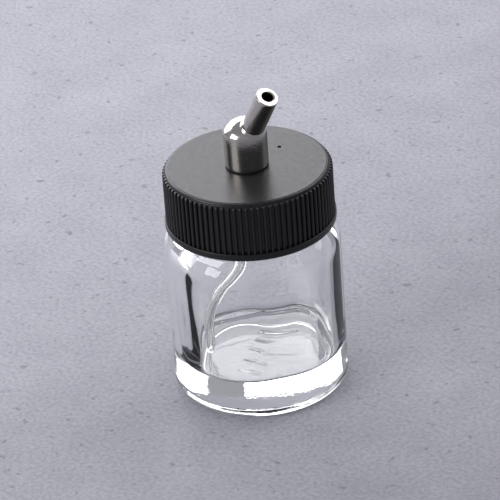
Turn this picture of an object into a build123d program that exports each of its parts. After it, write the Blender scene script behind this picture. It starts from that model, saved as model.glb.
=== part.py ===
from build123d import *
import math
import os

# Airbrush siphon jar: a 22 ml round glass jar, a ribbed plastic screw cap with a vent hole, and a
# nickel-plated adaptor whose inlet stem leans 30 degrees from vertical and plugs into an airbrush.
# Units are millimetres. +Z is up, the jar's axis is Z, the jar stands on z = 0, and the stem leans
# towards +X. Everything is built in its place, with the cap screwed down.

# ---- glass jar ----
JAR_R = 18.5                 # outside of the round body
HEEL_R = 2.3                 # rounding between the wall and the underside
PUSH_UP_R = 14.8             # hollow under the base, inside the ring that the jar stands on
PUSH_UP = 0.7
SHOULDER_Z = 32.6            # where the straight wall ends
NECK_Z = 38.6                # where the shoulder meets the neck
NECK_R = 15.05
BORE_R = 12.3                # inside of the neck
JAR_RIM_Z = 48.7
LIP_R = 0.7
CAVITY_HALF = 15.0           # the cavity is a square with large rounded corners, so it is nearly round
CAVITY_CORNER_R = 12.0
CAVITY_TURN = 63.0           # how far the square is turned about Z, in degrees
LEDGE_Z = 8.0                # flat round the shallow square well in the floor
LEDGE_FILLET = 1.0
WELL_HALF = 11.3
WELL_CORNER_R = 5.0
WELL_SLOPE = 60.0            # of the well's side, from vertical, in degrees
FLOOR_Z = 7.5
CEILING_Z = 36.9
CEILING_FILLET = 5.5

# ---- closure thread, right-handed, one start ----
PITCH = 25.4 / 6
THREAD_CREST_HALF = 0.5      # half of the flat on a crest
FLANK_SLOPE = 0.5            # half-width gained for each millimetre of depth
THREAD_SINK = 0.2            # how far a thread's root is sunk into its wall
NOSE_SPARE = 0.01            # a thread's rounded ends are this much fuller than its flanks
THREAD_TURNS = 1.15
JAR_THREAD_Z = 41.3          # height of the jar thread's lower end
JAR_THREAD_R = 16.2
CAP_THREAD_R = 15.4
THREAD_GAP = 0.12            # running clearance between the loaded flanks

# ---- screw cap ----
CAP_BOTTOM_Z = 38.2
CAP_TOP_Z = 51.2
CAP_ROOF = 1.5
CAP_BORE_R = 16.55
CAP_WALL_R = 17.2            # between the ribs
RIB_R = 17.72
RIB_COUNT = 88
RIB_FILL = 0.62              # share of each pitch that the rib takes up at its foot
BAND_R = 17.95               # plain band below the ribs
BAND_HEIGHT = 1.5
RIB_TOP_DROP = 0.75          # the ribs stop this far below the top
RIB_CHAMFER = 0.5
TOP_FLAT_R = 16.6            # flat top, inside a fine step
TOP_STEP = 0.06
TOP_EDGE_R = 17.0
TOP_CHAMFER = 0.15
VENT_R = 0.4
VENT_RADIUS_POS = 9.4        # the vent hole is this far from the axis, along +Y
HUB_HOLE_R = 3.06

# ---- cap gasket ----
GASKET_OUT_R = 16.3
GASKET_IN_R = 11.6

# ---- adaptor ----
HUB_R = 4.55
HUB_CHAMFER = 0.08
SEAL_T = 0.35
HUB_RIM_Z = CAP_TOP_Z + 8.2
DOME_RISE = 2.5
SHANK_R = 3.0
SHANK_BOTTOM_Z = 45.9
WASHER_T = 0.5
WASHER_R = 5.0
NUT_T = 2.3
NUT_FLATS = 8.0
NUT_BORE_R = 2.85            # the shank is plain, so the nut overlaps it by the fine thread's depth
PASSAGE_R = 1.0
LEAN = 30.0                  # of the stem, from vertical, in degrees
STEM_CROSSING_Z = CAP_TOP_Z + 4.95
STEM_R = 2.38                # a 3/16 inch siphon stem
STEM_BORE_R = 1.25
STEM_SPIGOT_R = 2.2          # the stem's foot is turned down to this and pressed into the hub
STEM_START = 2.0             # distances along the stem from where its axis crosses the hub's
COLLAR_START = 4.5
COLLAR_END = 5.5
STEM_SHOULDER = 5.6
STEM_END = 15.3
STEM_EDGE = 0.18
COLLAR_FOOT_R = 2.95
COLLAR_TOP_R = 2.5

# ---- siphon nipple and its dip tube ----
NIPPLE_R = 1.9
NIPPLE_BORE_R = 1.25
NIPPLE_TOP_Z = 49.9
NIPPLE_BOTTOM_Z = 37.5
NIPPLE_NOSE = 0.3            # length of the slight taper at its lower end
NIPPLE_NOSE_DROP = 0.2
TUBE_R = 1.3                 # squeezed a little where it is pushed up the nipple
TUBE_BORE_R = 0.75
TUBE_ROUTE = ((0, 43.0), (0, 31.5), (11.2, 18.5), (11.2, 9.2))    # (distance from the axis, height)
TUBE_BENDS = (12.0, 10.0)    # radii of the route's two bends
TUBE_AZIMUTH = 244.0         # the way that the tube's foot stands off the axis, in degrees from +X
TUBE_CUT = 45.0              # the foot is cut on a slant, so that it can't seal on the floor

AXIS_PLANE = Plane.XZ
ON_BASE = (Align.CENTER, Align.CENTER, Align.MIN)


def turned(*points):
    """A solid of revolution about Z from a closed outline of (radius, height) points."""
    with BuildPart() as lathe:
        with BuildSketch(AXIS_PLANE):
            with BuildLine():
                Polyline(*points, close=True)
            make_face()
        revolve(axis=Axis.Z)
    return lathe.part


def disc(radius, bottom, top):
    """A plain cylinder about Z between two heights."""
    return Pos(0, 0, bottom) * Cylinder(radius, top - bottom, align=ON_BASE)


def ring(outer, inner, bottom, top):
    return disc(outer, bottom, top) - disc(inner, bottom - 1, top + 1)


def circles_at(solid, radius, height):
    """The circular edges of a solid that lie at one height and have one radius."""
    chosen = ShapeList()
    for edge in solid.edges().filter_by(GeomType.CIRCLE):
        if abs(edge.radius - radius) < 0.01 and abs(edge.arc_center.Z - height) < 0.01:
            chosen.append(edge)
    return chosen


def thread(crest_r, wall_r, bottom, turns):
    """One rounded-end trapezoidal thread. It stands outwards from the wall if crest_r is larger."""
    outward = 1 if crest_r > wall_r else -1
    root_r = wall_r - outward * THREAD_SINK
    depth = abs(crest_r - root_r)
    root_half = THREAD_CREST_HALF + FLANK_SLOPE * depth
    path = Helix(PITCH, PITCH * turns, root_r, center=(0, 0, bottom))
    with BuildPart() as body:
        with BuildSketch(Plane(origin=path @ 0, x_dir=(outward, 0, 0), z_dir=(0, outward, 0))):
            with BuildLine():
                Polyline(
                    (0, -root_half),
                    (depth, -THREAD_CREST_HALF),
                    (depth, THREAD_CREST_HALF),
                    (0, root_half),
                    close=True,
                )
            make_face()
        sweep(path=path, is_frenet=True)
    result = body.part
    for end in (0, 1):
        turn = 360 * turns * end
        height = bottom + PITCH * turns * end
        nose = Cone(root_half + NOSE_SPARE, THREAD_CREST_HALF + NOSE_SPARE, depth, align=ON_BASE)
        nose = Pos(root_r, 0, 0) * Rot(0, 90 * outward, 0) * nose
        result += Pos(0, 0, height) * Rot(0, 0, turn) * nose
    return result


def make_cavity():
    outline = RectangleRounded(2 * CAVITY_HALF, 2 * CAVITY_HALF, CAVITY_CORNER_R)
    hollow = Pos(0, 0, LEDGE_Z) * extrude(outline, CEILING_Z - LEDGE_Z)
    hollow = fillet(hollow.edges().group_by(Axis.Z)[-1], CEILING_FILLET)
    hollow = fillet(hollow.edges().group_by(Axis.Z)[0], LEDGE_FILLET)
    floor = RectangleRounded(2 * WELL_HALF, 2 * WELL_HALF, WELL_CORNER_R)
    well = Pos(0, 0, FLOOR_Z) * extrude(floor, LEDGE_Z - FLOOR_Z, taper=-WELL_SLOPE)
    return Rot(0, 0, CAVITY_TURN) * (hollow + well)


def make_glass_jar():
    with BuildPart() as body:
        with BuildSketch(AXIS_PLANE):
            with BuildLine():
                Polyline((0, PUSH_UP), (PUSH_UP_R - PUSH_UP, PUSH_UP), (PUSH_UP_R, 0), (JAR_R - HEEL_R, 0))
                CenterArc((JAR_R - HEEL_R, HEEL_R), HEEL_R, -90, 90)
                Line((JAR_R, HEEL_R), (JAR_R, SHOULDER_Z))
                EllipticalCenterArc((NECK_R, SHOULDER_Z), JAR_R - NECK_R, NECK_Z - SHOULDER_Z, 0, arc_size=90)
                Polyline((NECK_R, NECK_Z), (NECK_R, JAR_RIM_Z), (0, JAR_RIM_Z), (0, PUSH_UP))
            make_face()
        revolve(axis=Axis.Z)
    jar = body.part + thread(JAR_THREAD_R, NECK_R, JAR_THREAD_Z, THREAD_TURNS)
    jar -= make_cavity() + disc(BORE_R, CEILING_Z - 1, JAR_RIM_Z + 1)
    lip = circles_at(jar, NECK_R, JAR_RIM_Z) + circles_at(jar, BORE_R, JAR_RIM_Z)
    return fillet(lip, LIP_R)


def make_ribs():
    """Half-round ribs round the skirt, with their top ends chamfered off."""
    pitch = 360 / RIB_COUNT
    half_foot = pitch * RIB_FILL / 2
    with BuildPart() as ribs:
        with BuildSketch(Plane.XY.offset(CAP_BOTTOM_Z + BAND_HEIGHT)):
            with BuildLine():
                for index in range(RIB_COUNT):
                    middle = index * pitch
                    foot = Vector(CAP_WALL_R, 0, 0)
                    crest = Vector(RIB_R, 0, 0)
                    start = foot.rotate(Axis.Z, middle - half_foot)
                    end = foot.rotate(Axis.Z, middle + half_foot)
                    ThreePointArc(start, crest.rotate(Axis.Z, middle), end)
                    CenterArc((0, 0), CAP_WALL_R, middle + half_foot, pitch - 2 * half_foot)
            make_face()
        extrude(amount=CAP_TOP_Z - CAP_BOTTOM_Z - BAND_HEIGHT)
    rib_top_z = CAP_TOP_Z - RIB_TOP_DROP
    envelope = turned(
        (0, CAP_BOTTOM_Z),
        (BAND_R, CAP_BOTTOM_Z),
        (BAND_R, rib_top_z - RIB_CHAMFER),
        (CAP_WALL_R, rib_top_z),
        (0, rib_top_z),
    )
    return ribs.part & envelope


def make_screw_cap():
    core = turned(
        (0, CAP_BOTTOM_Z),
        (BAND_R - 0.3, CAP_BOTTOM_Z),
        (BAND_R, CAP_BOTTOM_Z + 0.3),
        (BAND_R, CAP_BOTTOM_Z + BAND_HEIGHT - 0.15),
        (BAND_R - 0.15, CAP_BOTTOM_Z + BAND_HEIGHT),
        (CAP_WALL_R, CAP_BOTTOM_Z + BAND_HEIGHT),
        (CAP_WALL_R, CAP_TOP_Z - RIB_TOP_DROP),
        (TOP_EDGE_R, CAP_TOP_Z - TOP_STEP - TOP_CHAMFER),
        (TOP_EDGE_R - TOP_CHAMFER, CAP_TOP_Z - TOP_STEP),
        (TOP_FLAT_R + TOP_STEP, CAP_TOP_Z - TOP_STEP),
        (TOP_FLAT_R, CAP_TOP_Z),
        (0, CAP_TOP_Z),
    )
    cap = core + make_ribs()
    cap -= disc(CAP_BORE_R, CAP_BOTTOM_Z - 1, CAP_TOP_Z - CAP_ROOF)
    thread_drop = 2 * THREAD_CREST_HALF + FLANK_SLOPE * (JAR_THREAD_R - CAP_THREAD_R) + THREAD_GAP
    cap += thread(CAP_THREAD_R, CAP_BORE_R, JAR_THREAD_Z - thread_drop, THREAD_TURNS)
    cap -= disc(HUB_HOLE_R, CAP_TOP_Z - 2 * CAP_ROOF, CAP_TOP_Z + 1)
    cap -= Pos(0, VENT_RADIUS_POS, 0) * disc(VENT_R, CAP_TOP_Z - 2 * CAP_ROOF, CAP_TOP_Z + 1)
    return cap


def along_stem(solid, distance):
    """Moves a solid built on Z so that its base lies on the stem's axis, this far from the hub's."""
    return Pos(0, 0, STEM_CROSSING_Z) * Rot(0, LEAN, 0) * Pos(0, 0, distance) * solid


def make_hub():
    hub_foot_z = CAP_TOP_Z + SEAL_T
    dome_top_z = HUB_RIM_Z + DOME_RISE
    dome_r = (HUB_R**2 + DOME_RISE**2) / (2 * DOME_RISE)
    dome_mid = math.asin(HUB_R / dome_r) / 2
    middle = (dome_r * math.sin(dome_mid), dome_top_z - dome_r * (1 - math.cos(dome_mid)))
    with BuildPart() as body:
        with BuildSketch(AXIS_PLANE):
            with BuildLine():
                Polyline(
                    (0, dome_top_z),
                    (0, SHANK_BOTTOM_Z),
                    (SHANK_R - 0.4, SHANK_BOTTOM_Z),
                    (SHANK_R, SHANK_BOTTOM_Z + 0.4),
                    (SHANK_R, hub_foot_z),
                    (HUB_R - HUB_CHAMFER, hub_foot_z),
                    (HUB_R, hub_foot_z + HUB_CHAMFER),
                    (HUB_R, HUB_RIM_Z),
                )
                ThreePointArc((HUB_R, HUB_RIM_Z), middle, (0, dome_top_z))
            make_face()
        revolve(axis=Axis.Z)
    collar = Cone(COLLAR_FOOT_R, COLLAR_TOP_R, COLLAR_END - COLLAR_START, align=ON_BASE)
    turned_hub = Rot(0, 0, 90) * body.part
    hub = turned_hub + along_stem(collar, COLLAR_START)
    hub &= Rot(0, 0, 90) * disc(HUB_R, SHANK_BOTTOM_Z - 1, dome_top_z + 1)
    hub -= along_stem(Cylinder(STEM_SPIGOT_R, STEM_END, align=ON_BASE), STEM_START)
    hub -= along_stem(Cylinder(STEM_BORE_R, STEM_START + 1, align=ON_BASE), 0)
    hub -= disc(PASSAGE_R, SHANK_BOTTOM_Z - 1, STEM_CROSSING_Z + 0.4)
    hub -= disc(NIPPLE_R, SHANK_BOTTOM_Z - 1, NIPPLE_TOP_Z)
    return hub


def make_stem():
    length = STEM_END - STEM_SHOULDER
    barrel = Cylinder(STEM_R, length, align=ON_BASE)
    barrel = fillet(barrel.edges().filter_by_position(Axis.Z, length - 0.01, length + 0.01), STEM_EDGE)
    spigot = Cylinder(STEM_SPIGOT_R, STEM_SHOULDER - STEM_START, align=ON_BASE)
    stem = along_stem(barrel, STEM_SHOULDER) + along_stem(spigot, STEM_START)
    return stem - along_stem(Cylinder(STEM_BORE_R, STEM_END, align=ON_BASE), STEM_START)


def make_nut():
    top = CAP_TOP_Z - CAP_ROOF - WASHER_T
    corner_r = NUT_FLATS / math.sqrt(3)
    hexagon = Pos(0, 0, top - NUT_T) * extrude(RegularPolygon(corner_r, 6), NUT_T)
    chamfered = turned(
        (0, top - NUT_T),
        (corner_r - 0.4, top - NUT_T),
        (corner_r, top - NUT_T + 0.25),
        (corner_r, top),
        (0, top),
    )
    return (hexagon & chamfered) - disc(NUT_BORE_R, top - NUT_T - 1, top + 1)


def make_nipple():
    outside = turned(
        (0, NIPPLE_TOP_Z),
        (NIPPLE_R, NIPPLE_TOP_Z),
        (NIPPLE_R, NIPPLE_BOTTOM_Z + NIPPLE_NOSE),
        (NIPPLE_R - NIPPLE_NOSE_DROP, NIPPLE_BOTTOM_Z),
        (0, NIPPLE_BOTTOM_Z),
    )
    return outside - disc(NIPPLE_BORE_R, NIPPLE_BOTTOM_Z - 1, NIPPLE_TOP_Z + 1)


def make_dip_tube():
    corners = [(radius, 0, height) for radius, height in TUBE_ROUTE]
    with BuildPart() as tube:
        with BuildLine() as route:
            FilletPolyline(*corners, radius=TUBE_BENDS)
        with BuildSketch(Plane(origin=corners[0], x_dir=(1, 0, 0), z_dir=(0, 0, -1))):
            Circle(TUBE_R)
            Circle(TUBE_BORE_R, mode=Mode.SUBTRACT)
        sweep(path=route.wires()[0])
    foot_r, foot_z = TUBE_ROUTE[-1]
    slant = Pos(foot_r, 0, foot_z) * Rot(0, TUBE_CUT, 0) * Pos(0, 0, -3 * TUBE_R)
    result = tube.part - slant * Box(8 * TUBE_R, 4 * TUBE_R, 6 * TUBE_R)
    return Rot(0, 0, TUBE_AZIMUTH) * result


roof_underside = CAP_TOP_Z - CAP_ROOF
parts = {
    "glass_jar": make_glass_jar(),
    "screw_cap": make_screw_cap(),
    "cap_gasket": ring(GASKET_OUT_R, GASKET_IN_R, JAR_RIM_Z, roof_underside),
    "adaptor_hub": make_hub(),
    "inlet_stem": make_stem(),
    "hub_seal": ring(HUB_R - 0.1, SHANK_R + 0.02, CAP_TOP_Z, CAP_TOP_Z + SEAL_T),
    "inner_washer": ring(WASHER_R, SHANK_R + 0.02, roof_underside - WASHER_T, roof_underside),
    "lock_nut": make_nut(),
    "siphon_nipple": make_nipple(),
    "pickup_tube": make_dip_tube(),
}

os.makedirs("parts", exist_ok=True)
for name, solid in parts.items():
    export_step(solid, f"parts/{name}.step")
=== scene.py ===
import math

import bmesh
import bpy
import numpy as np
from mathutils import Matrix, Vector


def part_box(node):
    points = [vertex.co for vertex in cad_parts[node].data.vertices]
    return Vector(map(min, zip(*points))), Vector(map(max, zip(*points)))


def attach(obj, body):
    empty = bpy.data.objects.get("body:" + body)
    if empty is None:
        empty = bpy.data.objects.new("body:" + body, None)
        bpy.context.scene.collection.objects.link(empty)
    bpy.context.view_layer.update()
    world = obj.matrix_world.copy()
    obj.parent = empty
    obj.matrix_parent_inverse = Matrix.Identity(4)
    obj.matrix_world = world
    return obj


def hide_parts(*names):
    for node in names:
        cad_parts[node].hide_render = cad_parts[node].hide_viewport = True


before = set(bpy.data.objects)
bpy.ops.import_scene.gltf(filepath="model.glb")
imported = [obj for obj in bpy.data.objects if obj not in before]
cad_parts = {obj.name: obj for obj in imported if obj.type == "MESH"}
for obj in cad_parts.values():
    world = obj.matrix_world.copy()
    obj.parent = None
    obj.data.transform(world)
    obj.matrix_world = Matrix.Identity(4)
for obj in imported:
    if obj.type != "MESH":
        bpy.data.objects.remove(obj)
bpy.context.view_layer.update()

# The looks of an airbrush siphon jar: clear glass, a ribbed satin-black cap and a plated adaptor.
# Blender works in metres. The sizes below are in millimetres, like the CAD model's, and the boxes
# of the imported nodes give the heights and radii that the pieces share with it.

MM = 0.001
VIEW_AZIMUTH = math.radians(48)
RIGHT = Vector((math.cos(VIEW_AZIMUTH), math.sin(VIEW_AZIMUTH), 0))
NEAR = Vector((math.sin(VIEW_AZIMUTH), -math.cos(VIEW_AZIMUTH), 0))
UP = Vector((0, 0, 1))
JAR_LOW, JAR_HIGH = (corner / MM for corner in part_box("glass_jar"))
CAP_LOW, CAP_HIGH = (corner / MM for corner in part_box("screw_cap"))
HUB_LOW, HUB_HIGH = (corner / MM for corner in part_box("adaptor_hub"))

# ---- glass jar ----
JAR_SEGMENTS = 360
JAR_R = JAR_HIGH.x
JAR_TOP = JAR_HIGH.z
HEEL_R = 2.3
PUSH_UP_R = 14.8
PUSH_UP = 0.7
SHOULDER_Z = 32.6
NECK_Z = 38.6
NECK_R = 15.05
BORE_R = 12.3
LIP_R = 0.7
CAVITY_HALF = 15.0
CAVITY_CORNER_R = 12.0
CAVITY_TURN = math.radians(63)
FLOOR_Z = 7.5
LEDGE_FILLET = 1.0
WELL_HALF = 11.3
WELL_CORNER_R = 5.0
WELL_DEPTH = 0.5
CEILING_Z = 36.9
CEILING_FILLET = 5.5
MARK_COUNT = 5
MARK_START = (-3.3, -9.2)
MARK_END = (4.0, 5.9)
MARK_LENGTH = 2.6
MARK_HALF_WIDTH = 0.85
MARK_HEIGHT = 0.16
PITCH = 25.4 / 6
THREAD_TURNS = 1.15
JAR_THREAD_Z = 41.3
JAR_THREAD_R = 16.2
CAP_THREAD_R = 15.4
CAP_THREAD_Z = 39.78
THREAD_CREST_HALF = 0.5
THREAD_FOOT_HALF = 1.1

# ---- screw cap ----
CAP_BOTTOM = CAP_LOW.z
CAP_TOP = CAP_HIGH.z
BAND_R = CAP_HIGH.x
BAND_HEIGHT = 1.5
BAND_EDGE = 0.3
CAP_ROOF = 1.5
CAP_BORE_R = 16.55
CAP_WALL_R = 17.2
RIB_R = 17.72
RIB_COUNT = 88
RIB_FILL = 0.62
TOP_FLAT_R = 16.5
TOP_STEP = 0.08
TOP_EDGE_R = 17.1
TOP_EDGE_ROUNDING = 0.42
RIB_TOP = 0.75
RIB_CROWN = 0.5
VENT_R = 0.4
VENT_RADIUS_POS = 9.4
HUB_HOLE_R = 3.06

# ---- adaptor ----
HUB_R = HUB_HIGH.y
HUB_FOOT = CAP_TOP + 0.35
HUB_RIM_Z = CAP_TOP + 8.2
DOME_RISE = 2.5
SHANK_R = 3.0
SHANK_BOTTOM = HUB_LOW.z
LEAN = math.radians(30)
STEM_CROSSING = Vector((0, 0, CAP_TOP + 4.95))
STEM_R = 2.38
STEM_BORE_R = 1.25
STEM_SPIGOT_R = 2.2
STEM_START = 2.0
STEM_SHOULDER = 5.6
STEM_END = 15.3
STEM_EDGE = 0.18
COLLAR_START = 4.5
COLLAR_END = 5.5
COLLAR_FOOT_R = 2.95
COLLAR_TOP_R = 2.5
FOOT_EDGE = 0.06
RIM_EDGE = 0.16
NIPPLE_R = 1.9
NIPPLE_TOP = 49.9
PASSAGE_R = 1.0

# ---- dip tube ----
TUBE_R = 1.3
TUBE_BORE_R = 0.75
TUBE_ROUTE = ((0, 43.0), (0, 31.5), (11.2, 18.5), (11.2, 9.2))
TUBE_BENDS = (12.0, 10.0)
TUBE_AZIMUTH = math.radians(244)


# ---------------------------------------------------------------- mesh helpers

def angles(count):
    return np.arange(count) * (2 * math.pi / count)


def ring(theta, radius, height):
    """One ring of points about Z. Radius and height are numbers or one value for each angle."""
    points = np.empty((len(theta), 3))
    points[:, 0] = radius * np.cos(theta)
    points[:, 1] = radius * np.sin(theta)
    points[:, 2] = height
    return points


def arc(middle, radius, start, end, steps):
    """(radius, height) points on an arc, with angles in degrees from the radial direction."""
    turn = np.radians(np.linspace(start, end, steps + 1))
    return [(middle[0] + radius * math.cos(a), middle[1] + radius * math.sin(a)) for a in turn]


def line(start, end, steps):
    """(radius, height) points after the start of a straight run."""
    return [
        (start[0] + (end[0] - start[0]) * k / steps, start[1] + (end[1] - start[1]) * k / steps)
        for k in range(1, steps + 1)
    ]


def skin(name, rings, closed=False):
    """A mesh through rings of points in millimetres. A ring may have a whole number of times more
    points than its neighbour. Open ends are closed with a fan, or the last ring meets the first."""
    mesh = bmesh.new()
    loops = [[mesh.verts.new(Vector(point) * MM) for point in points] for points in rings]
    pairs = list(zip(loops, loops[1:]))
    if closed:
        pairs.append((loops[-1], loops[0]))
    for first, second in pairs:
        count = min(len(first), len(second))
        ratio_a = len(first) // count
        ratio_b = len(second) // count
        for i in range(count):
            side_a = [first[(i * ratio_a + k) % len(first)] for k in range(ratio_a + 1)]
            side_b = [second[(i * ratio_b + k) % len(second)] for k in range(ratio_b + 1)]
            mesh.faces.new(side_a + side_b[::-1])
    if not closed:
        for loop in (loops[0], loops[-1]):
            middle = mesh.verts.new(sum((v.co for v in loop), Vector()) / len(loop))
            for a, b in zip(loop, loop[1:] + loop[:1]):
                mesh.faces.new((a, b, middle))
    return finish_mesh(name, mesh)


def finish_mesh(name, mesh, sharp_angle=35):
    bmesh.ops.recalc_face_normals(mesh, faces=mesh.faces)
    data = bpy.data.meshes.new(name)
    mesh.to_mesh(data)
    mesh.free()
    data.shade_smooth()
    data.set_sharp_from_angle(angle=math.radians(sharp_angle))
    piece = bpy.data.objects.new(name, data)
    bpy.context.scene.collection.objects.link(piece)
    return piece


def smooth_step(low, high, value):
    t = np.clip((value - low) / (high - low), 0, 1)
    return t * t * (3 - 2 * t)


def smooth_max(a, b, width):
    """The larger of two fields, with the crease between them rounded over this width."""
    mix = np.maximum(width - np.abs(a - b), 0) / width
    return np.maximum(a, b) + mix * mix * width / 4


def thread_height(theta, height, start_z):
    """How far a point is up the flank of the thread: 0 on the wall and 1 on the crest."""
    total = THREAD_TURNS * 2 * math.pi
    best = np.zeros_like(theta)
    for turn in (-1, 0, 1):
        along = theta + turn * 2 * math.pi
        held = np.clip(along, 0, total)
        off = np.hypot(height - start_z - PITCH * held / (2 * math.pi), (along - held) * NECK_R)
        best = np.maximum(best, 1 - smooth_step(THREAD_CREST_HALF, THREAD_FOOT_HALF, off))
    return best


# ---------------------------------------------------------------- glass jar

def rounded_square(theta, half, corner):
    """Distance from the middle to a rounded square's outline, at each angle."""
    turned = np.abs((theta - CAVITY_TURN + math.pi / 4) % (math.pi / 2) - math.pi / 4)
    flat = half / np.cos(turned)
    centre = half - corner
    inside = corner ** 2 - centre ** 2 * (1 - np.sin(2 * turned))
    rounded = centre * (np.cos(turned) + np.sin(turned)) + np.sqrt(np.maximum(inside, 0))
    return np.where(half * np.tan(turned) <= centre, flat, rounded)


def glass_wobble(theta, height):
    """The slow unevenness of a blown cavity, in millimetres."""
    return (
        0.05 * np.sin(2 * theta + 0.13 * height + 1.3)
        + 0.035 * np.sin(3 * theta - 0.21 * height + 0.4)
        + 0.02 * np.sin(7 * theta + 0.33 * height)
    )


def cavity_radius(theta, height, shrink=0.0):
    """The cavity is a square with large rounded corners, so that it is nearly round."""
    return rounded_square(theta, CAVITY_HALF - shrink, CAVITY_CORNER_R - shrink) + glass_wobble(theta, height)


def mark_height(points):
    """Five short raised strokes in a row on the floor, as a mould leaves them."""
    start = np.array(MARK_START)
    row = np.array(MARK_END) - start
    row_length = np.linalg.norm(row)
    row /= row_length
    right = np.array((math.cos(VIEW_AZIMUTH), math.sin(VIEW_AZIMUTH)))
    away = np.array((-math.sin(VIEW_AZIMUTH), math.cos(VIEW_AZIMUTH)))
    flat = np.stack([points[:, :2] @ right, points[:, :2] @ away], axis=1) - start
    along = flat @ row
    across = flat @ np.array((-row[1], row[0]))
    best = np.zeros(len(points))
    for index in range(MARK_COUNT):
        place = row_length * index / (MARK_COUNT - 1)
        past = np.maximum(np.abs(across) - MARK_LENGTH / 2, 0)
        off = np.hypot(along - place, past)
        best = np.maximum(best, 1 - smooth_step(0, MARK_HALF_WIDTH, off))
    return MARK_HEIGHT * best


def make_jar_mesh():
    theta = angles(JAR_SEGMENTS)
    rings = []
    for r in (1, 4, 7, 9, 11, 12.5, 13.6):
        rings.append(ring(theta, r, PUSH_UP))
    profile = [(14.0, PUSH_UP - 0.05), (14.4, PUSH_UP - 0.38), (PUSH_UP_R, 0.05), (PUSH_UP_R + 0.2, 0)]
    profile += arc((JAR_R - HEEL_R, HEEL_R), HEEL_R, -90, 0, 14)
    profile += line((JAR_R, HEEL_R), (JAR_R, SHOULDER_Z), 6)
    for a in np.radians(np.linspace(0, 90, 19))[1:]:
        r = NECK_R + (JAR_R - NECK_R) * math.cos(a)
        profile.append((r, SHOULDER_Z + (NECK_Z - SHOULDER_Z) * math.sin(a)))
    for r, z in profile:
        rings.append(ring(theta, r, z))
    for r, z in line((NECK_R, NECK_Z), (NECK_R, JAR_TOP - LIP_R), 56):
        rise = thread_height(theta, z, JAR_THREAD_Z)
        rings.append(ring(theta, r + (JAR_THREAD_R - NECK_R) * rise, z))
    lip = arc((NECK_R - LIP_R, JAR_TOP - LIP_R), LIP_R, 0, 90, 6)[1:]
    lip += arc((BORE_R + LIP_R, JAR_TOP - LIP_R), LIP_R, 90, 180, 6)
    lip += line((BORE_R, JAR_TOP - LIP_R), (BORE_R, CEILING_Z + 1.0), 6)
    for r, z in lip:
        rings.append(ring(theta, r, z))
    for a in np.radians(np.linspace(90, 0, 15)):
        shrink = CEILING_FILLET * (1 - math.cos(a))
        z = CEILING_Z - CEILING_FILLET + CEILING_FILLET * math.sin(a)
        rings.append(ring(theta, smooth_max(cavity_radius(theta, z, shrink), BORE_R + 0 * theta, 0.8), z))
    wall_top = CEILING_Z - CEILING_FILLET
    ledge = FLOOR_Z + WELL_DEPTH
    wall_bottom = ledge + LEDGE_FILLET
    for z in np.linspace(wall_top, wall_bottom, 24)[1:]:
        rings.append(ring(theta, cavity_radius(theta, z), z))
    for a in np.radians(np.linspace(0, 90, 9))[1:]:
        shrink = LEDGE_FILLET * (1 - math.cos(a))
        z = wall_bottom - LEDGE_FILLET * math.sin(a)
        rings.append(ring(theta, cavity_radius(theta, z, shrink), z))
    for spread in np.linspace(1.2, 0, 13):
        edge = rounded_square(theta, WELL_HALF + spread, WELL_CORNER_R + spread)
        rings.append(ring(theta, edge, FLOOR_Z + WELL_DEPTH * smooth_step(0.1, 1.0, spread)))
    for share in np.arange(0.98, 0.03, -0.017):
        flat = ring(theta, edge * share, FLOOR_Z)
        flat[:, 2] += mark_height(flat)
        rings.append(flat)
    return skin("jar_glass", rings)


# ---------------------------------------------------------------- screw cap

def rib_angles():
    """Angles round the skirt, close together where a rib's outline turns."""
    pitch = 2 * math.pi / RIB_COUNT
    half_foot = pitch * RIB_FILL / 2
    on_rib = half_foot * np.sin(np.radians(np.linspace(-90, 90, 11)))
    in_valley = np.linspace(half_foot, pitch - half_foot, 5)[1:-1]
    one = np.concatenate([on_rib, in_valley])
    return np.concatenate([index * pitch + one for index in range(RIB_COUNT)])


def rib_radius(theta):
    pitch = 2 * math.pi / RIB_COUNT
    offset = ((theta + pitch / 2) % pitch - pitch / 2) / (pitch * RIB_FILL / 2)
    crown = np.sqrt(np.maximum(1 - offset ** 2, 0))
    return CAP_WALL_R + (RIB_R - CAP_WALL_R) * crown


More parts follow.
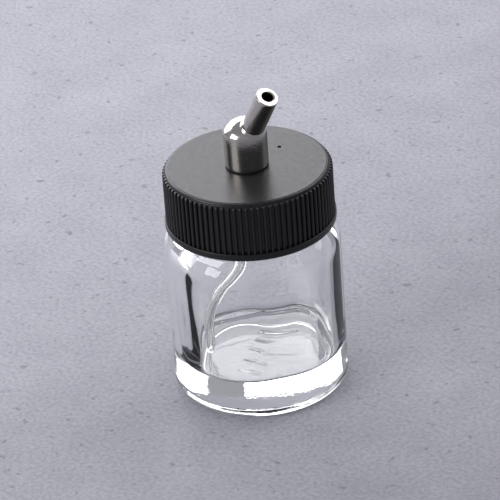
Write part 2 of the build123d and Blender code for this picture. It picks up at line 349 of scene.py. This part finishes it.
def make_cap_mesh():
    fine = rib_angles()
    plain = angles(RIB_COUNT * 7 // 2)
    band = angles(RIB_COUNT * 7)
    ribs = rib_radius(fine)
    rib_foot = CAP_BOTTOM + BAND_HEIGHT
    rings = [
        ring(band, CAP_BORE_R + 0.3, CAP_BOTTOM),
        ring(band, BAND_R - BAND_EDGE, CAP_BOTTOM),
    ]
    for r, z in arc((BAND_R - BAND_EDGE, CAP_BOTTOM + BAND_EDGE), BAND_EDGE, -90, 0, 5)[1:]:
        rings.append(ring(band, r, z))
    for r, z in arc((BAND_R - 0.15, rib_foot - 0.15), 0.15, 0, 90, 4):
        rings.append(ring(band, r, z))
    rings.append(ring(fine, ribs, rib_foot))
    crown_foot = CAP_TOP - RIB_TOP - RIB_CROWN
    for z in np.linspace(rib_foot, crown_foot, 6)[1:]:
        rings.append(ring(fine, ribs, z))
    for a in np.radians(np.linspace(0, 90, 10))[1:]:
        crown_r = CAP_WALL_R + (ribs - CAP_WALL_R) * math.cos(a)
        rings.append(ring(fine, crown_r, crown_foot + RIB_CROWN * math.sin(a)))
    edge = line((CAP_WALL_R, CAP_TOP - RIB_TOP), (TOP_EDGE_R, CAP_TOP - TOP_STEP - TOP_EDGE_ROUNDING), 3)
    edge_centre = (TOP_EDGE_R - TOP_EDGE_ROUNDING, CAP_TOP - TOP_STEP - TOP_EDGE_ROUNDING)
    edge += arc(edge_centre, TOP_EDGE_ROUNDING, 0, 90, 8)[1:]
    edge += [(TOP_FLAT_R + 0.08, CAP_TOP - TOP_STEP), (TOP_FLAT_R + 0.03, CAP_TOP - TOP_STEP + 0.01)]
    edge += [(TOP_FLAT_R, CAP_TOP - 0.015), (TOP_FLAT_R - 0.03, CAP_TOP), (TOP_FLAT_R - 0.07, CAP_TOP)]
    for r, z in edge:
        rings.append(ring(band, r, z))
    for r in (16.0, 14.5, 13.0, 11.5, 10.0, 8.5, 7.0, 5.5, 4.0):
        rings.append(ring(plain, r, CAP_TOP))
    for r, z in ((HUB_HOLE_R, CAP_TOP), (HUB_HOLE_R, CAP_TOP - CAP_ROOF), (5, CAP_TOP - CAP_ROOF),
                 (9, CAP_TOP - CAP_ROOF), (13, CAP_TOP - CAP_ROOF), (CAP_BORE_R, CAP_TOP - CAP_ROOF)):
        rings.append(ring(plain, r, z))
    for z in np.linspace(CAP_TOP - CAP_ROOF, CAP_BOTTOM + 0.3, 52)[1:]:
        rise = thread_height(plain, z, CAP_THREAD_Z)
        rings.append(ring(plain, CAP_BORE_R - (CAP_BORE_R - CAP_THREAD_R) * rise, z))
    cap = skin("cap_shell", rings, closed=True)
    drill(cap, (0, VENT_RADIUS_POS, CAP_TOP - CAP_ROOF / 2), VENT_R)
    return cap


def drill(piece, middle, radius):
    """Cuts a small vertical hole with a lightly broken edge."""
    theta = angles(48)
    half = CAP_ROOF / 2
    profile = [
        (radius, -half - 0.2),
        (radius, half - 0.06),
        (radius + 0.06, half),
        (radius + 0.2, half + 0.14),
    ]
    combine(piece, skin("cutter", [ring(theta, r, z) + np.array(middle) for r, z in profile]), "DIFFERENCE")


def combine(piece, other, operation):
    """Joins another mesh to a piece, or cuts it away, and removes the other one."""
    change = piece.modifiers.new("combine", "BOOLEAN")
    change.operation = operation
    change.solver = "EXACT"
    change.object = other
    apply_modifiers(piece)
    bpy.data.objects.remove(other)


def apply_modifiers(piece):
    bpy.context.view_layer.update()
    result = bpy.data.meshes.new_from_object(piece.evaluated_get(bpy.context.evaluated_depsgraph_get()))
    piece.modifiers.clear()
    old = piece.data
    piece.data = result
    bpy.data.meshes.remove(old)
    result.shade_smooth()
    result.set_sharp_from_angle(angle=math.radians(35))


# ---------------------------------------------------------------- adaptor

def along_stem(points):
    """Moves rings built on Z onto the stem's axis."""
    lean = Matrix.Rotation(LEAN, 4, "Y")
    return np.array([lean @ Vector(point) + STEM_CROSSING for point in points])


def make_hub_mesh():
    theta = angles(192)
    dome_r = (HUB_R ** 2 + DOME_RISE ** 2) / (2 * DOME_RISE)
    dome_top = HUB_RIM_Z + DOME_RISE
    profile = [(PASSAGE_R, STEM_CROSSING.z), (PASSAGE_R, NIPPLE_TOP), (NIPPLE_R, NIPPLE_TOP)]
    profile += line((NIPPLE_R, NIPPLE_TOP), (NIPPLE_R, SHANK_BOTTOM), 3)
    profile += [(SHANK_R - 0.4, SHANK_BOTTOM), (SHANK_R, SHANK_BOTTOM + 0.4), (SHANK_R, HUB_FOOT)]
    profile += arc((HUB_R - FOOT_EDGE, HUB_FOOT + FOOT_EDGE), FOOT_EDGE, -90, 0, 5)
    profile += line((HUB_R, HUB_FOOT + FOOT_EDGE), (HUB_R, HUB_RIM_Z - RIM_EDGE), 12)
    rim_turn = math.degrees(math.acos(HUB_R / dome_r))
    profile += arc((HUB_R - RIM_EDGE, HUB_RIM_Z - RIM_EDGE), RIM_EDGE, 0, rim_turn, 5)[1:]
    start = math.asin((HUB_R - RIM_EDGE) / dome_r)
    for a in np.linspace(start, 0.02, 26):
        profile.append((dome_r * math.sin(a), dome_top - dome_r + dome_r * math.cos(a)))
    hub = skin("adaptor_post", [ring(theta, r, z) for r, z in profile])
    slope = (COLLAR_TOP_R - COLLAR_FOOT_R) / (COLLAR_END - COLLAR_START)
    collar = [(COLLAR_FOOT_R, COLLAR_START - 2.0)]
    collar += [(COLLAR_FOOT_R + slope * k / 4, COLLAR_START + k / 4) for k in range(4)]
    collar += [(COLLAR_TOP_R, COLLAR_END - 0.1), (COLLAR_TOP_R - 0.1, COLLAR_END), (1.0, COLLAR_END)]
    rings = []
    for r, s in collar:
        points = along_stem(ring(theta, r, s))
        reach = np.hypot(points[:, 0], points[:, 1])
        points[:, :2] *= np.minimum(1, (HUB_R - 0.02) / reach)[:, None]
        rings.append(points)
    combine(hub, skin("collar", rings), "UNION")
    socket = [along_stem(ring(theta, STEM_SPIGOT_R, s)) for s in (STEM_START, COLLAR_END + 2)]
    combine(hub, skin("socket", socket), "DIFFERENCE")
    bore = [along_stem(ring(theta, STEM_BORE_R, s)) for s in (0, STEM_START + 1)]
    combine(hub, skin("bore", bore), "DIFFERENCE")
    return hub


def make_stem_mesh():
    theta = angles(144)
    profile = [(STEM_BORE_R, STEM_START), (STEM_SPIGOT_R, STEM_START), (STEM_SPIGOT_R, STEM_SHOULDER)]
    profile += [(STEM_R - 0.05, STEM_SHOULDER), (STEM_R, STEM_SHOULDER + 0.05)]
    profile += line((STEM_R, STEM_SHOULDER + 0.05), (STEM_R, STEM_END - STEM_EDGE), 12)
    profile += arc((STEM_R - STEM_EDGE, STEM_END - STEM_EDGE), STEM_EDGE, 0, 90, 8)[1:]
    profile += [(1.9, STEM_END), (STEM_BORE_R + 0.1, STEM_END), (STEM_BORE_R + 0.03, STEM_END - 0.03)]
    profile += line((STEM_BORE_R, STEM_END - 0.1), (STEM_BORE_R, STEM_START + 0.5), 10)
    rings = [along_stem(ring(theta, r, s)) for r, s in profile]
    return skin("adaptor_stem", rings, closed=True)


# ---------------------------------------------------------------- dip tube

def bent_path(corners, bends, steps=14):
    """Points along a route of straight runs whose corners are rounded."""
    corners = [np.array(corner, dtype=float) for corner in corners]
    points = [corners[0]]
    for before, corner, after, radius in zip(corners, corners[1:], corners[2:], bends):
        inward = (before - corner) / np.linalg.norm(before - corner)
        onward = (after - corner) / np.linalg.norm(after - corner)
        half = math.acos(np.clip(inward @ onward, -1, 1)) / 2
        middle = corner + (inward + onward) / np.linalg.norm(inward + onward) * radius / math.sin(half)
        first = corner + inward * radius / math.tan(half) - middle
        last = corner + onward * radius / math.tan(half) - middle
        for share in np.linspace(0, 1, steps):
            spoke = first * (1 - share) + last * share
            points.append(middle + spoke / np.linalg.norm(spoke) * radius)
    points.append(corners[-1])
    return points


def make_tube_mesh():
    theta = angles(48)
    path = bent_path(TUBE_ROUTE, TUBE_BENDS)
    side = np.array((-math.sin(TUBE_AZIMUTH), math.cos(TUBE_AZIMUTH), 0))
    spots = [np.array((r * math.cos(TUBE_AZIMUTH), r * math.sin(TUBE_AZIMUTH), z)) for r, z in path]
    slopes = [b - a for a, b in zip(spots[:1] + spots[:-1], spots[1:] + spots[-1:])]
    outer, inner = [], []
    for spot, slope in zip(spots, slopes):
        normal = np.cross(side, slope / np.linalg.norm(slope))
        wheel = np.cos(theta)[:, None] * side + np.sin(theta)[:, None] * normal
        outer.append(spot + TUBE_R * wheel)
        inner.append(spot + TUBE_BORE_R * wheel)
    foot_r, foot_z = TUBE_ROUTE[-1]
    for end in (outer[-1], inner[-1]):
        reach = end[:, 0] * math.cos(TUBE_AZIMUTH) + end[:, 1] * math.sin(TUBE_AZIMUTH)
        end[:, 2] = foot_z + np.maximum(foot_r - reach, 0)
    return skin("dip_tube", outer + inner[::-1], closed=True)


# ---------------------------------------------------------------- materials

def new_material(name):
    material = bpy.data.materials.new(name)
    material.use_nodes = True
    nodes = material.node_tree.nodes
    shader = nodes["Principled BSDF"]
    return material, nodes, material.node_tree.links, shader


def object_noise(nodes, links, scale, detail=4.0, stretch=(1, 1, 1)):
    """Noise in the piece's own coordinates. Scale is in cells for each metre."""
    place = nodes.new("ShaderNodeTexCoord")
    mapping = nodes.new("ShaderNodeMapping")
    mapping.inputs["Scale"].default_value = stretch
    noise = nodes.new("ShaderNodeTexNoise")
    noise.inputs["Scale"].default_value = scale
    noise.inputs["Detail"].default_value = detail
    links.new(place.outputs["Object"], mapping.inputs["Vector"])
    links.new(mapping.outputs["Vector"], noise.inputs["Vector"])
    return noise.outputs["Fac"]


def ramp(nodes, links, value, stops):
    node = nodes.new("ShaderNodeValToRGB")
    elements = node.color_ramp.elements
    while len(elements) < len(stops):
        elements.new(0.5)
    for element, (place, colour) in zip(elements, stops):
        element.position = place
        element.color = (*colour, 1)
    links.new(value, node.inputs["Fac"])
    return node.outputs["Color"]


def between(nodes, links, value, low, high):
    """A noise value spread over a range."""
    node = nodes.new("ShaderNodeMapRange")
    node.inputs["From Min"].default_value = 0.3
    node.inputs["From Max"].default_value = 0.7
    node.inputs["To Min"].default_value = low
    node.inputs["To Max"].default_value = high
    links.new(value, node.inputs["Value"])
    return node.outputs["Result"]


def share_by_radius(nodes, links, none_at, full_at):
    """A share that grows from 0 to 1 between two distances from the axis in millimetres."""
    place = nodes.new("ShaderNodeTexCoord")
    flat = nodes.new("ShaderNodeVectorMath")
    flat.operation = "MULTIPLY"
    flat.inputs[1].default_value = (1, 1, 0)
    reach = nodes.new("ShaderNodeVectorMath")
    reach.operation = "LENGTH"
    share = nodes.new("ShaderNodeMapRange")
    share.inputs["From Min"].default_value = none_at * MM
    share.inputs["From Max"].default_value = full_at * MM
    links.new(place.outputs["Object"], flat.inputs[0])
    links.new(flat.outputs["Vector"], reach.inputs[0])
    links.new(reach.outputs["Value"], share.inputs["Value"])
    return share.outputs["Result"]


def share_by_height(nodes, links, none_at, full_at):
    """A share that grows from 0 to 1 between two heights in millimetres."""
    place = nodes.new("ShaderNodeTexCoord")
    split = nodes.new("ShaderNodeSeparateXYZ")
    share = nodes.new("ShaderNodeMapRange")
    low, high = sorted((none_at, full_at))
    share.inputs["From Min"].default_value = low * MM
    share.inputs["From Max"].default_value = high * MM
    share.inputs["To Min"].default_value = 1.0 if full_at < none_at else 0.0
    share.inputs["To Max"].default_value = 0.0 if full_at < none_at else 1.0
    links.new(place.outputs["Object"], split.inputs["Vector"])
    links.new(split.outputs["Z"], share.inputs["Value"])
    return share.outputs["Result"]


def scaled(nodes, links, value, by):
    node = nodes.new("ShaderNodeMath")
    node.operation = "MULTIPLY"
    for socket, source in zip(node.inputs, (value, by)):
        if isinstance(source, float):
            socket.default_value = source
        else:
            links.new(source, socket)
    return node.outputs["Value"]


def tinted(nodes, links, first, second):
    """Two colours multiplied together."""
    node = nodes.new("ShaderNodeMix")
    node.data_type = "RGBA"
    node.blend_type = "MULTIPLY"
    node.inputs["Factor"].default_value = 1.0
    colour_a, colour_b = [socket for socket in node.inputs if socket.type == "RGBA"]
    links.new(first, colour_a)
    links.new(second, colour_b)
    return [socket for socket in node.outputs if socket.type == "RGBA"][0]


def bump(nodes, links, height, depth, strength=1.0, under=None):
    """A bump whose full height is this many metres."""
    node = nodes.new("ShaderNodeBump")
    node.inputs["Strength"].default_value = strength
    node.inputs["Distance"].default_value = depth
    links.new(height, node.inputs["Height"])
    if under is not None:
        links.new(under, node.inputs["Normal"])
    return node.outputs["Normal"]


def glass_material():
    material, nodes, links, shader = new_material("clear_glass")
    shader.inputs["Base Color"].default_value = (1.0, 1.0, 1.0, 1)
    shader.inputs["Roughness"].default_value = 0.0
    shader.inputs["IOR"].default_value = 1.51
    shader.inputs["Transmission Weight"].default_value = 1.0
    waves = bump(nodes, links, object_noise(nodes, links, 90, 1.0), 0.00008)
    near_foot = share_by_height(nodes, links, 4.5, 2.5)
    ripple = scaled(nodes, links, object_noise(nodes, links, 650, 2.0), near_foot)
    links.new(bump(nodes, links, ripple, 0.00003, under=waves), shader.inputs["Normal"])
    clear = nodes.new("ShaderNodeBsdfTransparent")
    base = share_by_height(nodes, links, 7.0, 1.0)
    heel = scaled(nodes, links, base, share_by_radius(nodes, links, 16.3, 16.8))
    shade = ramp(nodes, links, heel, [(0.0, (0.86, 0.87, 0.87)), (1.0, (0.36, 0.36, 0.37))])
    links.new(shade, clear.inputs["Color"])
    path = nodes.new("ShaderNodeLightPath")
    mix = nodes.new("ShaderNodeMixShader")
    output = nodes["Material Output"]
    either = nodes.new("ShaderNodeMath")
    either.operation = "MAXIMUM"
    links.new(path.outputs["Is Shadow Ray"], either.inputs[0])
    links.new(path.outputs["Is Diffuse Ray"], either.inputs[1])
    links.new(either.outputs["Value"], mix.inputs["Fac"])
    links.new(shader.outputs["BSDF"], mix.inputs[1])
    links.new(clear.outputs["BSDF"], mix.inputs[2])
    links.new(mix.outputs["Shader"], output.inputs["Surface"])
    return material


def cap_material():
    material, nodes, links, shader = new_material("satin_black_plastic")
    mottle = object_noise(nodes, links, 900, 5.0)
    colour = ramp(nodes, links, mottle, [(0.3, (0.0025, 0.0025, 0.003)), (0.7, (0.005, 0.005, 0.0055))])
    links.new(colour, shader.inputs["Base Color"])
    links.new(between(nodes, links, mottle, 0.30, 0.38), shader.inputs["Roughness"])
    grain = object_noise(nodes, links, 6000, 2.0)
    links.new(bump(nodes, links, grain, 0.000012), shader.inputs["Normal"])
    shader.inputs["IOR"].default_value = 1.5
    return material


def plated_material(name, colour, low, high, pits=0.5):
    """Plated metal with fine turning lines round it and small casting pits."""
    material, nodes, links, shader = new_material(name)
    shader.inputs["Metallic"].default_value = 1.0
    tone = object_noise(nodes, links, 700, 4.0)
    darker = tuple(0.86 * c for c in colour)
    links.new(ramp(nodes, links, tone, [(0.3, darker), (0.7, colour)]), shader.inputs["Base Color"])
    links.new(between(nodes, links, tone, low, high), shader.inputs["Roughness"])
    turning = bump(nodes, links, object_noise(nodes, links, 900, 3.0, (0.3, 0.3, 9)), 0.000006)
    grain = object_noise(nodes, links, 2600, 2.0)
    links.new(bump(nodes, links, grain, 0.00003, pits, under=turning), shader.inputs["Normal"])
    return material


def rubber_material():
    material, nodes, links, shader = new_material("black_rubber")
    grain = object_noise(nodes, links, 4000, 3.0)
    links.new(ramp(nodes, links, grain, [(0.3, (0.006, 0.006, 0.006)), (0.7, (0.014, 0.013, 0.012))]),
              shader.inputs["Base Color"])
    links.new(between(nodes, links, grain, 0.45, 0.65), shader.inputs["Roughness"])
    links.new(bump(nodes, links, grain, 0.00002), shader.inputs["Normal"])
    return material


def foam_material():
    material, nodes, links, shader = new_material("gasket_foam")
    cells = object_noise(nodes, links, 3500, 4.0)
    links.new(ramp(nodes, links, cells, [(0.35, (0.50, 0.49, 0.46)), (0.65, (0.66, 0.65, 0.62))]),
              shader.inputs["Base Color"])
    shader.inputs["Roughness"].default_value = 0.7
    links.new(bump(nodes, links, cells, 0.00004), shader.inputs["Normal"])
    return material


def tube_material():
    material, nodes, links, shader = new_material("clear_tube")
    shader.inputs["Base Color"].default_value = (0.93, 0.94, 0.92, 1)
    shader.inputs["Roughness"].default_value = 0.05
    shader.inputs["IOR"].default_value = 1.36
    shader.inputs["Transmission Weight"].default_value = 1.0
    lines = object_noise(nodes, links, 1500, 2.0, (1, 1, 0.05))
    links.new(bump(nodes, links, lines, 0.00002), shader.inputs["Normal"])
    return material


def floor_material():
    """A fine-grained grey board with small dark specks, with painted light that makes it a little lighter
    towards its far end and its left.
    """
    material, nodes, links, shader = new_material("floor")
    broad = object_noise(nodes, links, 70, 5.0)
    grain = object_noise(nodes, links, 1100, 6.0)
    specks = object_noise(nodes, links, 420, 3.0)
    base = ramp(nodes, links, broad, [(0.3, (0.32, 0.32, 0.362)), (0.7, (0.37, 0.37, 0.412))])
    grain_tone = ramp(nodes, links, grain, [(0.32, (0.80, 0.80, 0.80)), (0.62, (1.06, 1.06, 1.06))])
    speck_tone = ramp(nodes, links, specks, [(0.29, (0.62, 0.62, 0.62)), (0.36, (1.0, 1.0, 1.0))])
    # Painted light: a tone in the floor's colour, lighter towards the far end and the left, stands in for the
    # falloff of the lamps behind.
    place = nodes.new("ShaderNodeTexCoord")
    depth = nodes.new("ShaderNodeVectorMath")
    depth.operation = "DOT_PRODUCT"
    depth.inputs[1].default_value = -NEAR - RIGHT * 0.3
    links.new(place.outputs["Object"], depth.inputs[0])
    slope = nodes.new("ShaderNodeMapRange")
    slope.inputs["From Min"].default_value = -0.11
    slope.inputs["From Max"].default_value = 0.13
    links.new(depth.outputs["Value"], slope.inputs["Value"])
    painted_falloff_stops = [(0.0, (0.80, 0.80, 0.80)), (1.0, (1.12, 1.12, 1.12))]
    painted_falloff_tone = ramp(nodes, links, slope.outputs["Result"], painted_falloff_stops)
    grained = tinted(nodes, links, base, grain_tone)
    colour = tinted(nodes, links, grained, tinted(nodes, links, speck_tone, painted_falloff_tone))
    links.new(colour, shader.inputs["Base Color"])
    shader.inputs["Roughness"].default_value = 0.6
    links.new(bump(nodes, links, grain, 0.00007, 0.5), shader.inputs["Normal"])
    return material


# ---------------------------------------------------------------- pieces

def place(piece, body, slot, material, *nodes):
    piece.data.materials.clear()
    piece.data.materials.append(material)
    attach(piece, body)
    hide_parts(*nodes)


def paint(node, material):
    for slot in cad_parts[node].material_slots:
        slot.material = material


nickel = plated_material("plated_nickel", (0.62, 0.58, 0.55), 0.09, 0.18)
place(make_jar_mesh(), "jar", "clear_glass", glass_material(), "glass_jar")
place(make_cap_mesh(), "cap", "black_cap", cap_material(), "screw_cap")
place(make_hub_mesh(), "adaptor", "nickel", nickel, "adaptor_hub")
place(make_stem_mesh(), "adaptor", "nickel", nickel, "inlet_stem")
paint("cap_gasket", foam_material())
paint("hub_seal", rubber_material())
paint("inner_washer", plated_material("washer_steel", (0.62, 0.61, 0.60), 0.2, 0.35))
paint("lock_nut", plated_material("nut_brass", (0.70, 0.60, 0.42), 0.2, 0.35))
paint("siphon_nipple", plated_material("nipple_steel", (0.64, 0.63, 0.61), 0.15, 0.3))
place(make_tube_mesh(), "adaptor", "clear_tube", tube_material(), "pickup_tube")


# ---------------------------------------------------------------- stage

VIEW_ELEVATION = math.radians(30.2)
VIEW_ROLL = math.radians(-4.2)
VIEW_DISTANCE = 0.755
LENS = 259.3
AIM_SIDE = -0.00068
AIM_HEIGHT = 0.03055


def make_floor():
    bpy.ops.mesh.primitive_plane_add(size=4)
    floor = bpy.context.object
    floor.name = "floor"
    floor.data.materials.append(floor_material())


def make_light(name, around, above, distance, width, height, radiance, colour=(1, 1, 1)):
    """An area light that faces the jar. Around is in degrees to the left of straight behind the jar,
    seen from the camera, and above is its elevation."""
    side = math.radians(around)
    level = RIGHT * -math.sin(side) - NEAR * math.cos(side)
    direction = level * math.cos(math.radians(above)) + UP * math.sin(math.radians(above))
    data = bpy.data.lights.new(name, "AREA")
    data.shape = "RECTANGLE"
    data.size = width
    data.size_y = height
    data.energy = radiance * math.pi * width * height
    data.color = colour
    light = bpy.data.objects.new(name, data)
    light.location = direction * distance + UP * AIM_HEIGHT
    light.rotation_euler = direction.to_track_quat("Z", "Y").to_euler()
    bpy.context.scene.collection.objects.link(light)


def make_world():
    world = bpy.data.worlds.new("studio")
    world.use_nodes = True
    shader = world.node_tree.nodes["Background"]
    shader.inputs["Color"].default_value = (0.9, 0.92, 1.0, 1)
    shader.inputs["Strength"].default_value = 0.36
    bpy.context.scene.world = world


def make_camera():
    back = NEAR * math.cos(VIEW_ELEVATION) + UP * math.sin(VIEW_ELEVATION)
    target = RIGHT * AIM_SIDE + UP * AIM_HEIGHT
    data = bpy.data.cameras.new("camera")
    data.lens = LENS
    data.sensor_width = 36
    camera = bpy.data.objects.new("camera", data)
    camera.location = target + back * VIEW_DISTANCE
    facing = back.to_track_quat("Z", "Y").to_matrix().to_4x4()
    camera.rotation_euler = (facing @ Matrix.Rotation(VIEW_ROLL, 4, "Z")).to_euler()
    bpy.context.scene.collection.objects.link(camera)
    bpy.context.scene.camera = camera


make_floor()
make_world()
make_light("back_softbox", 28, 25, 1.2, 1.5, 0.9, 3.4, (0.96, 0.96, 1.0))
make_light("left_softbox", 117, 28, 0.8, 0.45, 0.38, 7.0)
make_light("right_softbox", -57, 45, 1.0, 0.75, 0.6, 2.4)
make_camera()
bpy.context.scene.view_settings.view_transform = "Standard"
